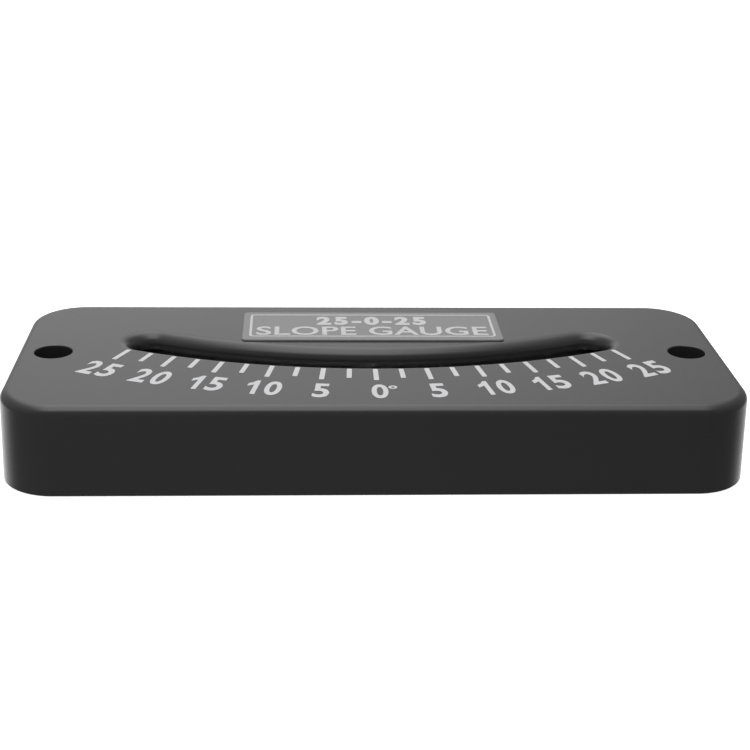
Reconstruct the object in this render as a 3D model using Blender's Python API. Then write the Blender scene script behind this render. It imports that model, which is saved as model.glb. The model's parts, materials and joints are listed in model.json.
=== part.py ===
"""Ball clinometer: a moulded slope gauge with a steel ball in a curved glass tube.

The gauge lies on its back. X runs along its length, Y towards the edge that is uppermost
in use, and Z out of the face. The origin is the middle of the back. All sizes are in metres.
"""

import math

import bmesh
import bpy
from mathutils import Matrix, Vector

# Case
CASE_LENGTH = 0.152
CASE_WIDTH = 0.063
CASE_CORNER = 0.0114
FACE_FILLET = 0.0020
WALL_DRAFT = 0.00028
FACE_THICKNESS = 0.0035
SIDE_WALL = 0.0035
CAVITY_CORNER = 0.0050

# Screw holes through the ends, which fasten the gauge
MOUNT_HOLE_RADIUS = 0.0040
MOUNT_HOLE_INSET = 0.00774
MOUNT_HOLE_WALL = 0.00176

# Label plate, placed from the far edge of the face
LABEL_LENGTH = 0.0578
LABEL_WIDTH = 0.0184
LABEL_THICKNESS = 0.0004
LABEL_CORNER = 0.0010
LABEL_X = 0.0004
LABEL_MARGIN = 0.0065
LABEL_SLOT_GAP = 0.0021
LABEL_BOND = 0.0001

# Scale and slot: the slot, the tube and the ball all follow one arc
SCALE_LIMIT = math.radians(25.0)
TRACK_END_ROOM = 0.01114
SLOT_TUBE_GAP = 0.0002
SLOT_RIM_FILLET = 0.0028
SLOT_END_INSET = math.radians(0.7)

# Tube, ball and plugs
TUBE_OUTER_RADIUS = 0.0040
TUBE_WALL = 0.0010
TUBE_TOP_BELOW_FACE = 0.0032
BALL_BORE_GAP = 0.00025
BALL_END_GAP = 0.0001
PLUG_BORE_GAP = 0.00025
PLUG_STEM_LENGTH = 0.0035
PLUG_CAP_THICKNESS = 0.0016

# Channel behind the face, which the tube lies in, and the strip that backs it
CHANNEL_TUBE_GAP = 0.0006
CHANNEL_WALL = 0.0018
STRIP_OVERLAP = 0.0002
STRIP_THICKNESS = 0.0008
STRIP_END_INSET = 0.0023

# Cover and gasket at the back
COVER_THICKNESS = 0.0020
GASKET_THICKNESS = 0.0006
LEDGE_WIDTH_X = 0.0020
LEDGE_WIDTH_Y = 0.0015
COVER_SCREW_INSET_X = 0.0040
COVER_SCREW_INSET_Y = 0.0035
COVER_BOSS_WALL = 0.00255

# Clamps across the tube
CLAMP_ANGLE = math.radians(15.0)
CLAMP_WIDTH = 0.0080
CLAMP_THICKNESS = 0.0012
CLAMP_END_RADIUS = 0.0039
CLAMP_END_MARGIN = 0.0040
CLAMP_HOLE_INSET = 0.00045
CLAMP_BOSS_WALL = 0.0016
PAD_THICKNESS = 0.0010
PAD_CORNER = 0.0008
HEAD_ROOM = 0.0003

# Screws
SCREW_RADIUS = 0.00145
SCREW_CLEARANCE = 0.0002
HEAD_OVERHANG = 0.00135
PAN_HEAD_HEIGHT = 0.0016
PAN_CROWN_INSET = 0.0008
PAN_SHOULDER_INSET = 0.0002
PAN_CROWN_DEPTH = 0.0004
PAN_SHOULDER_DEPTH = 0.0009
COUNTERSUNK_DEPTH = 0.0015
COVER_SCREW_LENGTH = 0.0090
CLAMP_SCREW_LENGTH = 0.0080
CROSS_LENGTH = 0.0029
CROSS_WIDTH = 0.0006
CROSS_DEPTH = 0.0008

# Shared clearances and steps
CLEARANCE = 0.0002
SIDE_CLEARANCE = 0.0003
OVERRUN = 0.0010
SLIVER = 0.00002
SHARP_ANGLE = math.radians(35.0)
ARC_STEP = math.radians(2.0)
CORNER_STEPS = 12
SMALL_CORNER_STEPS = 5
FILLET_STEPS = 8
HOLE_STEPS = 48
ROUND_STEPS = 32
SMALL_ROUND_STEPS = 24

# Pieces that fit into or round each other
TUBE_BORE_RADIUS = TUBE_OUTER_RADIUS - TUBE_WALL
BALL_RADIUS = TUBE_BORE_RADIUS - BALL_BORE_GAP
PLUG_STEM_RADIUS = TUBE_BORE_RADIUS - PLUG_BORE_GAP
SLOT_HALF_WIDTH = TUBE_OUTER_RADIUS + SLOT_TUBE_GAP
CHANNEL_HALF_WIDTH = TUBE_OUTER_RADIUS + CHANNEL_TUBE_GAP
SCREW_HOLE_RADIUS = SCREW_RADIUS + SCREW_CLEARANCE
SCREW_HEAD_RADIUS = SCREW_RADIUS + HEAD_OVERHANG
COVER_BOSS_RADIUS = SCREW_HOLE_RADIUS + COVER_BOSS_WALL
CLAMP_BOSS_RADIUS = SCREW_HOLE_RADIUS + CLAMP_BOSS_WALL
CLAMP_SCREW_OFFSET = CHANNEL_HALF_WIDTH + CHANNEL_WALL + SCREW_HOLE_RADIUS + CLAMP_HOLE_INSET
CLAMP_LENGTH = 2 * (CLAMP_SCREW_OFFSET + CLAMP_END_MARGIN)

# Places along the case and across it
MOUNT_HOLE_X = CASE_LENGTH / 2 - MOUNT_HOLE_INSET
CAVITY_HALF_LENGTH = MOUNT_HOLE_X - MOUNT_HOLE_RADIUS - MOUNT_HOLE_WALL - LEDGE_WIDTH_X
CAVITY_HALF_WIDTH = CASE_WIDTH / 2 - SIDE_WALL
COVER_SCREW_X = CAVITY_HALF_LENGTH - COVER_SCREW_INSET_X
COVER_SCREW_Y = CAVITY_HALF_WIDTH - COVER_SCREW_INSET_Y
LABEL_Y = CASE_WIDTH / 2 - LABEL_MARGIN - LABEL_WIDTH / 2

# The arc fills the length of the cavity, and its slot clears the label's near corners.
TRACK_RADIUS = (CAVITY_HALF_LENGTH - TRACK_END_ROOM) / math.sin(SCALE_LIMIT)
LABEL_CORNER_X = LABEL_LENGTH / 2 + abs(LABEL_X)
SLOT_FAR_RADIUS = TRACK_RADIUS - SLOT_HALF_WIDTH
SLOT_CORNER_Y = LABEL_Y - LABEL_WIDTH / 2 - LABEL_SLOT_GAP
ARC_CENTRE_Y = SLOT_CORNER_Y + math.sqrt(SLOT_FAR_RADIUS**2 - LABEL_CORNER_X**2)

# Ends of the slot, plugs, tube, caps, channel and strip along the arc
SLOT_HALF_ANGLE = SCALE_LIMIT - SLOT_END_INSET
PLUG_ANGLE = SCALE_LIMIT + (BALL_RADIUS + BALL_END_GAP) / TRACK_RADIUS
TUBE_END_ANGLE = PLUG_ANGLE + PLUG_STEM_LENGTH / TRACK_RADIUS
CAP_ANGLE = TUBE_END_ANGLE + CLEARANCE / TRACK_RADIUS
CAP_END_ANGLE = CAP_ANGLE + PLUG_CAP_THICKNESS / TRACK_RADIUS
CHANNEL_ANGLE = CAP_END_ANGLE + SIDE_CLEARANCE / TRACK_RADIUS
STRIP_HALF_ANGLE = TUBE_END_ANGLE - STRIP_END_INSET / TRACK_RADIUS

# Heights from the back up: the case is as deep as the pile of pieces that it holds.
GASKET_Z = COVER_THICKNESS + CLEARANCE
LEDGE_Z = GASKET_Z + GASKET_THICKNESS + CLEARANCE
CLAMP_HEAD_Z = COVER_THICKNESS + HEAD_ROOM
CLAMP_SEAT_Z = CLAMP_HEAD_Z + PAN_HEAD_HEIGHT
CLAMP_BOTTOM_Z = CLAMP_SEAT_Z + CLEARANCE
CLAMP_TOP_Z = CLAMP_BOTTOM_Z + CLAMP_THICKNESS
PAD_BOTTOM_Z = CLAMP_TOP_Z + CLEARANCE
PAD_TOP_Z = PAD_BOTTOM_Z + PAD_THICKNESS
STRIP_BOTTOM_Z = PAD_TOP_Z + CLEARANCE
STRIP_TOP_Z = STRIP_BOTTOM_Z + STRIP_THICKNESS
CHANNEL_Z = STRIP_TOP_Z + CLEARANCE
TUBE_Z = STRIP_TOP_Z + SIDE_CLEARANCE + TUBE_OUTER_RADIUS
CASE_HEIGHT = TUBE_Z + TUBE_OUTER_RADIUS + TUBE_TOP_BELOW_FACE
CEILING_Z = CASE_HEIGHT - FACE_THICKNESS


def clear_scene():
    for obj in list(bpy.data.objects):
        bpy.data.objects.remove(obj, do_unlink=True)


def material(name, colour, metallic, roughness, transmission=0.0):
    made = bpy.data.materials.new(name)
    made.use_nodes = True
    shader = made.node_tree.nodes["Principled BSDF"]
    shader.inputs["Base Color"].default_value = (*colour, 1.0)
    shader.inputs["Metallic"].default_value = metallic
    shader.inputs["Roughness"].default_value = roughness
    shader.inputs["Transmission Weight"].default_value = transmission
    return made


def add_object(name, mesh_builder, surface=None, smooth=False):
    """Makes an object from a bmesh, with its normals facing out."""
    bmesh.ops.recalc_face_normals(mesh_builder, faces=mesh_builder.faces)
    mesh = bpy.data.meshes.new(name)
    mesh_builder.to_mesh(mesh)
    mesh_builder.free()
    obj = bpy.data.objects.new(name, mesh)
    bpy.context.scene.collection.objects.link(obj)
    if surface:
        mesh.materials.append(surface)
    if smooth:
        mesh.polygons.foreach_set("use_smooth", [True] * len(mesh.polygons))
        mesh.set_sharp_from_angle(angle=SHARP_ANGLE)
    return obj


def hide_helper(obj):
    obj.hide_render = True
    obj.display_type = "WIRE"
    return obj


def boolean(target, other, operation):
    modifier = target.modifiers.new(other.name, "BOOLEAN")
    modifier.object = hide_helper(other)
    modifier.operation = operation
    modifier.solver = "EXACT"


def rounded_rectangle(half_x, half_y, radius, steps=CORNER_STEPS):
    """Points of a rounded rectangle about the origin, counter-clockwise."""
    points = []
    corners = ((1, 1, 0.0), (-1, 1, 0.5), (-1, -1, 1.0), (1, -1, 1.5))
    for sign_x, sign_y, turn in corners:
        centre_x = sign_x * (half_x - radius)
        centre_y = sign_y * (half_y - radius)
        for step in range(steps + 1):
            angle = math.pi * (turn + 0.5 * step / steps)
            x = centre_x + radius * math.cos(angle)
            y = centre_y + radius * math.sin(angle)
            points.append((x, y))
    return points


def arc_point(radius, angle):
    """The point of the scale's arc at this angle from the middle of the scale."""
    return radius * math.sin(angle), ARC_CENTRE_Y - radius * math.cos(angle)


def arc_slot(half_width, half_angle, end_steps=CORNER_STEPS):
    """Points of a round-ended slot along the track, counter-clockwise seen from the face."""
    steps = round(2 * half_angle / ARC_STEP)
    angles = [-half_angle + 2 * half_angle * step / steps for step in range(steps + 1)]
    points = [arc_point(TRACK_RADIUS + half_width, angle) for angle in angles]
    points += slot_end(half_width, half_angle, 1, end_steps)
    points += [arc_point(TRACK_RADIUS - half_width, angle) for angle in reversed(angles)]
    points += slot_end(half_width, half_angle, -1, end_steps)
    return points


def slot_end(half_width, half_angle, side, steps):
    """Points of one round end, without the two that the long sides already have."""
    centre_x, centre_y = arc_point(TRACK_RADIUS, side * half_angle)
    start = side * half_angle - math.pi / 2 if side > 0 else side * half_angle + math.pi / 2
    points = []
    for step in range(1, steps):
        angle = start + math.pi * step / steps
        x = centre_x + half_width * math.cos(angle)
        y = centre_y + half_width * math.sin(angle)
        points.append((x, y))
    return points


def arc_band(inner_radius, outer_radius, half_angle):
    """Points of a square-ended band along the scale's arc, counter-clockwise."""
    steps = round(2 * half_angle / ARC_STEP)
    angles = [-half_angle + 2 * half_angle * step / steps for step in range(steps + 1)]
    near_side = [arc_point(outer_radius, angle) for angle in angles]
    far_side = [arc_point(inner_radius, angle) for angle in reversed(angles)]
    return near_side + far_side


def track_band(half_width, end_length):
    """Points of a band about the tube's whole length, longer at each end by this much."""
    half_angle = CHANNEL_ANGLE + end_length / TRACK_RADIUS
    return arc_band(TRACK_RADIUS - half_width, TRACK_RADIUS + half_width, half_angle)


def loft(rings):
    """A closed body through rings of points, with a flat cap at each end."""
    builder = bmesh.new()
    made = [[builder.verts.new(point) for point in ring] for ring in rings]
    for lower, upper in zip(made, made[1:]):
        for index in range(len(lower)):
            following = (index + 1) % len(lower)
            quad = (lower[index], lower[following], upper[following], upper[index])
            builder.faces.new(quad)
    builder.faces.new(list(reversed(made[0])))
    builder.faces.new(made[-1])
    return builder


def at_height(outline, z):
    return [(x, y, z) for x, y in outline]


def prism(outline, low, high):
    return loft([at_height(outline, low), at_height(outline, high)])


def cylinder(radius, low, high, centre=(0.0, 0.0), steps=ROUND_STEPS):
    outline = []
    for step in range(steps):
        angle = 2 * math.pi * step / steps
        x = centre[0] + radius * math.cos(angle)
        y = centre[1] + radius * math.sin(angle)
        outline.append((x, y))
    return prism(outline, low, high)


def merged(builders):
    """Separate bodies in one mesh, for use as one cutter."""
    whole = bmesh.new()
    for builder in builders:
        piece = bpy.data.meshes.new("piece")
        builder.to_mesh(piece)
        builder.free()
        whole.from_mesh(piece)
        bpy.data.meshes.remove(piece)
    return whole


def turned(profile, steps=ROUND_STEPS):
    """A body turned about Z from (radius, height) points that start and end on the axis."""
    builder = bmesh.new()
    rings = []
    for radius, height in profile:
        if radius == 0.0:
            rings.append([builder.verts.new((0.0, 0.0, height))])
            continue
        ring = []
        for step in range(steps):
            angle = 2 * math.pi * step / steps
            point = (radius * math.cos(angle), radius * math.sin(angle), height)
            ring.append(builder.verts.new(point))
        rings.append(ring)
    for lower, upper in zip(rings, rings[1:]):
        for step in range(steps):
            following = (step + 1) % steps
            corners = [lower[step % len(lower)], lower[following % len(lower)]]
            corners += [upper[following % len(upper)], upper[step % len(upper)]]
            builder.faces.new(list(dict.fromkeys(corners)))
    return builder


def arc_sweep(section_radius, half_angle, steps):
    """Rings of a round section carried along the track from one end to the other."""
    count = round(2 * half_angle / ARC_STEP)
    rings = []
    for index in range(count + 1):
        angle = -half_angle + 2 * half_angle * index / count
        ring = []
        for step in range(steps):
            turn = 2 * math.pi * step / steps
            x, y = arc_point(TRACK_RADIUS + section_radius * math.cos(turn), angle)
            ring.append((x, y, TUBE_Z + section_radius * math.sin(turn)))
        rings.append(ring)
    return rings


def bridge(builder, lower, upper):
    for index in range(len(lower)):
        following = (index + 1) % len(lower)
        quad = (lower[index], lower[following], upper[following], upper[index])
        builder.faces.new(quad)


def curved_pipe(outer_radius, inner_radius, half_angle, steps):
    """A pipe along the track, open at both ends."""
    builder = bmesh.new()
    skins = []
    for radius in (outer_radius, inner_radius):
        rings = arc_sweep(radius, half_angle, steps)
        skins.append([[builder.verts.new(point) for point in ring] for ring in rings])
    for skin in skins:
        for lower, upper in zip(skin, skin[1:]):
            bridge(builder, lower, upper)
    bridge(builder, skins[0][0], skins[1][0])
    bridge(builder, skins[0][-1], skins[1][-1])
    return builder


def case_body():
    """The outside of the case: drafted walls, a filleted face edge and a flat back."""
    half_x = CASE_LENGTH / 2
    half_y = CASE_WIDTH / 2
    base = rounded_rectangle(
        half_x + WALL_DRAFT, half_y + WALL_DRAFT, CASE_CORNER + WALL_DRAFT
    )
    rings = [at_height(base, 0.0)]
    for step in range(FILLET_STEPS + 1):
        angle = math.pi / 2 * step / FILLET_STEPS
        inset = FACE_FILLET * (1 - math.cos(angle))
        outline = rounded_rectangle(half_x - inset, half_y - inset, CASE_CORNER - inset)
        rings.append(at_height(outline, CASE_HEIGHT - FACE_FILLET * (1 - math.sin(angle))))
    return loft(rings)


def slot_cutter():
    """The slot's opening, flared at the face by the rim's fillet."""
    levels = [(SLOT_HALF_WIDTH, TUBE_Z)]
    for step in range(FILLET_STEPS):
        angle = math.pi / 2 * step / FILLET_STEPS
        half_width = SLOT_HALF_WIDTH + SLOT_RIM_FILLET * (1 - math.cos(angle))
        levels.append((half_width, CASE_HEIGHT - SLOT_RIM_FILLET * (1 - math.sin(angle))))
    mouth = SLOT_HALF_WIDTH + SLOT_RIM_FILLET
    levels.append((mouth, CASE_HEIGHT + SLIVER))
    levels.append((mouth, CASE_HEIGHT + OVERRUN))
    return loft([at_height(arc_slot(width, SLOT_HALF_ANGLE), z) for width, z in levels])


def clamp_screw_places():
    places = []
    for side in (-1, 1):
        for offset in (-CLAMP_SCREW_OFFSET, CLAMP_SCREW_OFFSET):
            places.append(arc_point(TRACK_RADIUS + offset, side * CLAMP_ANGLE))
    return places


def cover_screw_places():
    places = []
    for side_x in (-1, 1):
        for side_y in (-1, 1):
            places.append((side_x * COVER_SCREW_X, side_y * COVER_SCREW_Y))
    return places


def build_case(surface):
    case = add_object("case", case_body(), surface)

    cavity = rounded_rectangle(CAVITY_HALF_LENGTH, CAVITY_HALF_WIDTH, CAVITY_CORNER)
    boolean(case, add_object("cut_cavity", prism(cavity, -OVERRUN, CEILING_Z)), "DIFFERENCE")

    bosses = []
    for place in cover_screw_places():
        bosses.append(cylinder(COVER_BOSS_RADIUS, LEDGE_Z, CEILING_Z + OVERRUN, place))
    for place in clamp_screw_places():
        bosses.append(cylinder(CLAMP_BOSS_RADIUS, PAD_BOTTOM_Z, CEILING_Z + OVERRUN, place))
    boolean(case, add_object("add_bosses", merged(bosses)), "UNION")

    walls = track_band(CHANNEL_HALF_WIDTH + CHANNEL_WALL, CHANNEL_WALL)
    block = prism(walls, CHANNEL_Z, CEILING_Z + OVERRUN)
    boolean(case, add_object("add_channel", block), "UNION")
    channel = prism(track_band(CHANNEL_HALF_WIDTH, 0.0), CHANNEL_Z - OVERRUN, CEILING_Z)
    boolean(case, add_object("cut_channel", channel), "DIFFERENCE")

    rebate = rounded_rectangle(
        CAVITY_HALF_LENGTH + LEDGE_WIDTH_X,
        CAVITY_HALF_WIDTH + LEDGE_WIDTH_Y,
        CAVITY_CORNER + LEDGE_WIDTH_Y,
    )
    boolean(case, add_object("cut_rebate", prism(rebate, -OVERRUN, LEDGE_Z)), "DIFFERENCE")
    boolean(case, add_object("cut_slot", slot_cutter()), "DIFFERENCE")

    groove_radius = TUBE_OUTER_RADIUS + SIDE_CLEARANCE
    groove = loft(arc_sweep(groove_radius, CHANNEL_ANGLE, ROUND_STEPS))
    boolean(case, add_object("cut_groove", groove), "DIFFERENCE")

    drills = []
    for side in (-1, 1):
        centre = (side * MOUNT_HOLE_X, 0.0)
        drills.append(
            cylinder(MOUNT_HOLE_RADIUS, -OVERRUN, CASE_HEIGHT + OVERRUN, centre, HOLE_STEPS)
        )
    pilot_depth = COVER_SCREW_LENGTH + OVERRUN
    for place in cover_screw_places():
        drills.append(
            cylinder(SCREW_HOLE_RADIUS, LEDGE_Z - OVERRUN, pilot_depth, place, SMALL_ROUND_STEPS)
        )
    pilot_top = CLAMP_SEAT_Z + CLAMP_SCREW_LENGTH + SIDE_CLEARANCE
    for place in clamp_screw_places():
        drills.append(
            cylinder(
                SCREW_HOLE_RADIUS, PAD_BOTTOM_Z - OVERRUN, pilot_top, place, SMALL_ROUND_STEPS
            )
        )
    boolean(case, add_object("cut_drills", merged(drills)), "DIFFERENCE")
    return case


def build_tube(surface):
    pipe = curved_pipe(TUBE_OUTER_RADIUS, TUBE_BORE_RADIUS, TUBE_END_ANGLE, SMALL_ROUND_STEPS)
    return add_object("glass_tube", pipe, surface, smooth=True)


def build_ball(surface):
    """The ball, on an empty that stands on the arc's centre, so it turns along the track."""
    profile = []
    steps = SMALL_ROUND_STEPS // 2
    for step in range(steps + 1):
        angle = math.pi * step / steps
        radius = BALL_RADIUS * math.sin(angle) if 0 < step < steps else 0.0
        profile.append((radius, -BALL_RADIUS * math.cos(angle)))
    ball = add_object("indicator_ball", turned(profile, SMALL_ROUND_STEPS), surface, smooth=True)
    pivot = bpy.data.objects.new("ball_pivot", None)
    bpy.context.scene.collection.objects.link(pivot)
    pivot.location = (0.0, ARC_CENTRE_Y, TUBE_Z)
    ball.parent = pivot
    ball.location = (0.0, -TRACK_RADIUS, 0.0)
    return ball


def build_plug(name, side, surface):
    """A rubber stopper: a stem in the tube's bore and a cap over the tube's end."""
    stem_length = PLUG_STEM_LENGTH + CLEARANCE
    chamfer = CLEARANCE
    profile = [
        (0.0, 0.0),
        (PLUG_STEM_RADIUS - chamfer, 0.0),
        (PLUG_STEM_RADIUS, chamfer),
        (PLUG_STEM_RADIUS, stem_length),
        (TUBE_OUTER_RADIUS, stem_length),
        (TUBE_OUTER_RADIUS, stem_length + PLUG_CAP_THICKNESS - chamfer),
        (TUBE_OUTER_RADIUS - chamfer, stem_length + PLUG_CAP_THICKNESS),
        (0.0, stem_length + PLUG_CAP_THICKNESS),
    ]
    plug = add_object(name, turned(profile, SMALL_ROUND_STEPS), surface, smooth=True)
    middle = side * (PLUG_ANGLE + CAP_ANGLE) / 2
    x, y = arc_point(TRACK_RADIUS, middle)
    outward = Vector((side * math.cos(middle), side * math.sin(middle), 0.0))
    turn = Vector((0.0, 0.0, 1.0)).rotation_difference(outward).to_matrix().to_4x4()
    start = Vector((x, y, TUBE_Z)) - outward * stem_length / 2
    plug.matrix_world = Matrix.Translation(start) @ turn
    return plug


def build_strip(surface):
    half_width = CHANNEL_HALF_WIDTH + STRIP_OVERLAP
    band = arc_band(TRACK_RADIUS - half_width, TRACK_RADIUS + half_width, STRIP_HALF_ANGLE)
    builder = prism(band, STRIP_BOTTOM_Z, STRIP_TOP_Z)
    return add_object("backing_strip", builder, surface)


def place_across_track(obj, side):
    """Turns a piece made about the origin so that its Y runs across the tube at a clamp."""
    angle = side * CLAMP_ANGLE
    x, y = arc_point(TRACK_RADIUS, angle)
    obj.matrix_world = Matrix.Translation((x, y, 0.0)) @ Matrix.Rotation(angle, 4, "Z")


def build_pad(name, side, surface):
    half_x = CLAMP_WIDTH / 2 - SIDE_CLEARANCE
    outline = rounded_rectangle(half_x, TUBE_OUTER_RADIUS, PAD_CORNER, SMALL_CORNER_STEPS)
    pad = add_object(name, prism(outline, PAD_BOTTOM_Z, PAD_TOP_Z), surface)
    place_across_track(pad, side)
    return pad


def build_clamp(name, side, surface):
    outline = rounded_rectangle(CLAMP_WIDTH / 2, CLAMP_LENGTH / 2, CLAMP_END_RADIUS)
    clamp = add_object(name, prism(outline, CLAMP_BOTTOM_Z, CLAMP_TOP_Z), surface)
    holes = []
    for offset in (-CLAMP_SCREW_OFFSET, CLAMP_SCREW_OFFSET):
        holes.append(
            cylinder(
                SCREW_HOLE_RADIUS,
                CLAMP_BOTTOM_Z - OVERRUN,
                CLAMP_TOP_Z + OVERRUN,
                (0.0, offset),
                SMALL_ROUND_STEPS,
            )
        )
    cutter = add_object("cut_" + name, merged(holes))
    boolean(clamp, cutter, "DIFFERENCE")
    place_across_track(clamp, side)
    place_across_track(cutter, side)
    return clamp


def cross_cutter(name, head_z):
    """A cross recess cut upwards into a head whose outer face is at this height."""
    half_length = CROSS_LENGTH / 2
    half_width = CROSS_WIDTH / 2
    outline = [
        (half_length, half_width),
        (half_width, half_width),
        (half_width, half_length),
        (-half_width, half_length),
        (-half_width, half_width),
        (-half_length, half_width),
        (-half_length, -half_width),
        (-half_width, -half_width),
        (-half_width, -half_length),
        (half_width, -half_length),
        (half_width, -half_width),
        (half_length, -half_width),
    ]
    return add_object(name, prism(outline, head_z - OVERRUN, head_z + CROSS_DEPTH))


def build_screw(name, place, profile, head_z, surface):
    """A screw pointing up from its head, with a cross recess."""
    screw = add_object(name, turned(profile, SMALL_ROUND_STEPS), surface, smooth=True)
    cutter = cross_cutter("cut_" + name, head_z)
    boolean(screw, cutter, "DIFFERENCE")
    screw.location = (place[0], place[1], 0.0)
    cutter.location = screw.location
    return screw


def countersunk_profile():
    head = CLEARANCE
    tip = COVER_SCREW_LENGTH
    return [
        (0.0, head),
        (SCREW_HEAD_RADIUS, head),
        (SCREW_RADIUS, head + COUNTERSUNK_DEPTH),
        (SCREW_RADIUS, tip - SCREW_RADIUS),
        (0.0, tip),
    ]


def pan_profile():
    tip = CLAMP_SEAT_Z + CLAMP_SCREW_LENGTH
    return [
        (0.0, CLAMP_HEAD_Z),
        (SCREW_HEAD_RADIUS - PAN_CROWN_INSET, CLAMP_HEAD_Z),
        (SCREW_HEAD_RADIUS - PAN_SHOULDER_INSET, CLAMP_HEAD_Z + PAN_CROWN_DEPTH),
        (SCREW_HEAD_RADIUS, CLAMP_HEAD_Z + PAN_SHOULDER_DEPTH),
        (SCREW_HEAD_RADIUS, CLAMP_SEAT_Z),
        (SCREW_RADIUS, CLAMP_SEAT_Z),
        (SCREW_RADIUS, tip - SCREW_RADIUS),
        (0.0, tip),
    ]


def build_cover(surface):
    outline = rounded_rectangle(
        CAVITY_HALF_LENGTH + LEDGE_WIDTH_X - SIDE_CLEARANCE,
        CAVITY_HALF_WIDTH + LEDGE_WIDTH_Y - SIDE_CLEARANCE,
        CAVITY_CORNER + LEDGE_WIDTH_Y - SIDE_CLEARANCE,
    )
    cover = add_object("back_cover", prism(outline, 0.0, COVER_THICKNESS), surface)
    sinks = []
    for place in cover_screw_places():
        mouth = SCREW_HEAD_RADIUS + 2 * CLEARANCE
        slope = (SCREW_HEAD_RADIUS - SCREW_RADIUS) / COUNTERSUNK_DEPTH
        depth = (mouth - SCREW_HOLE_RADIUS) / slope
        profile = [
            (0.0, -OVERRUN),
            (mouth, -OVERRUN),
            (mouth, 0.0),
            (SCREW_HOLE_RADIUS, depth),
            (SCREW_HOLE_RADIUS, COVER_THICKNESS + OVERRUN),
            (0.0, COVER_THICKNESS + OVERRUN),
        ]
        sink = turned(profile, SMALL_ROUND_STEPS)
        bmesh.ops.translate(sink, verts=sink.verts, vec=(place[0], place[1], 0.0))
        sinks.append(sink)
    boolean(cover, add_object("cut_back_cover", merged(sinks)), "DIFFERENCE")
    return cover


def build_gasket(surface):
    outer = rounded_rectangle(
        CAVITY_HALF_LENGTH + LEDGE_WIDTH_X - SIDE_CLEARANCE,
        CAVITY_HALF_WIDTH + LEDGE_WIDTH_Y - SIDE_CLEARANCE,
        CAVITY_CORNER + LEDGE_WIDTH_Y - SIDE_CLEARANCE,
    )
    inner = rounded_rectangle(CAVITY_HALF_LENGTH, CAVITY_HALF_WIDTH, CAVITY_CORNER)
    builder = bmesh.new()
    levels = []
    for outline in (outer, inner):
        for z in (GASKET_Z, GASKET_Z + GASKET_THICKNESS):
            levels.append([builder.verts.new(point) for point in at_height(outline, z)])
    outer_low, outer_high, inner_low, inner_high = levels
    bridge(builder, outer_low, outer_high)
    bridge(builder, inner_low, inner_high)
    bridge(builder, outer_low, inner_low)
    bridge(builder, outer_high, inner_high)
    return add_object("cover_gasket", builder, surface)


def build_label(surface):
    outline = rounded_rectangle(LABEL_LENGTH / 2, LABEL_WIDTH / 2, LABEL_CORNER, SMALL_CORNER_STEPS)
    low = CASE_HEIGHT + LABEL_BOND
    label = add_object("label_plate", prism(outline, low, low + LABEL_THICKNESS), surface)
    label.location = (LABEL_X, LABEL_Y, 0.0)
    return label


def main():
    clear_scene()
    black_moulding = material("black_moulding", (0.02, 0.02, 0.022), 0.0, 0.35)
    cover_plastic = material("cover_plastic", (0.03, 0.03, 0.032), 0.0, 0.5)
    glass = material("clear_glass", (0.9, 0.95, 0.95), 0.0, 0.02, 1.0)
    dark_steel = material("dark_steel", (0.05, 0.05, 0.055), 0.9, 0.2)
    rubber = material("black_rubber", (0.015, 0.015, 0.015), 0.0, 0.7)
    dark_card = material("dark_card", (0.02, 0.02, 0.02), 0.0, 0.8)
    zinc = material("zinc_steel", (0.6, 0.6, 0.6), 1.0, 0.35)
    label_paint = material("label_paint", (0.2, 0.2, 0.21), 0.3, 0.4)

    build_case(black_moulding)
    build_tube(glass)
    build_ball(dark_steel)
    build_plug("tube_plug_left", -1, rubber)
    build_plug("tube_plug_right", 1, rubber)
    build_strip(dark_card)
    for side, end in ((-1, "left"), (1, "right")):
        build_pad("clamp_pad_" + end, side, rubber)
        build_clamp("tube_clamp_" + end, side, zinc)
    for index, place in enumerate(clamp_screw_places(), 1):
        build_screw("clamp_screw_%d" % index, place, pan_profile(), CLAMP_HEAD_Z, zinc)
    build_gasket(rubber)
    build_cover(cover_plastic)
    for index, place in enumerate(cover_screw_places(), 1):
        build_screw("cover_screw_%d" % index, place, countersunk_profile(), CLEARANCE, zinc)
    build_label(label_paint)


main()
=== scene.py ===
"""Finished surfaces of a ball slope gauge.

A moulded black case shows a steel ball in a curved glass tube through an arc-shaped slot.
White marks and numerals give the slope from 25 degrees to 25 degrees. Each group of pieces
has its own operator, and the sidebar panel lists them. All sizes are in metres.
"""

import json
import math

import bmesh
import bpy
from mathutils import Matrix, Vector


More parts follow.
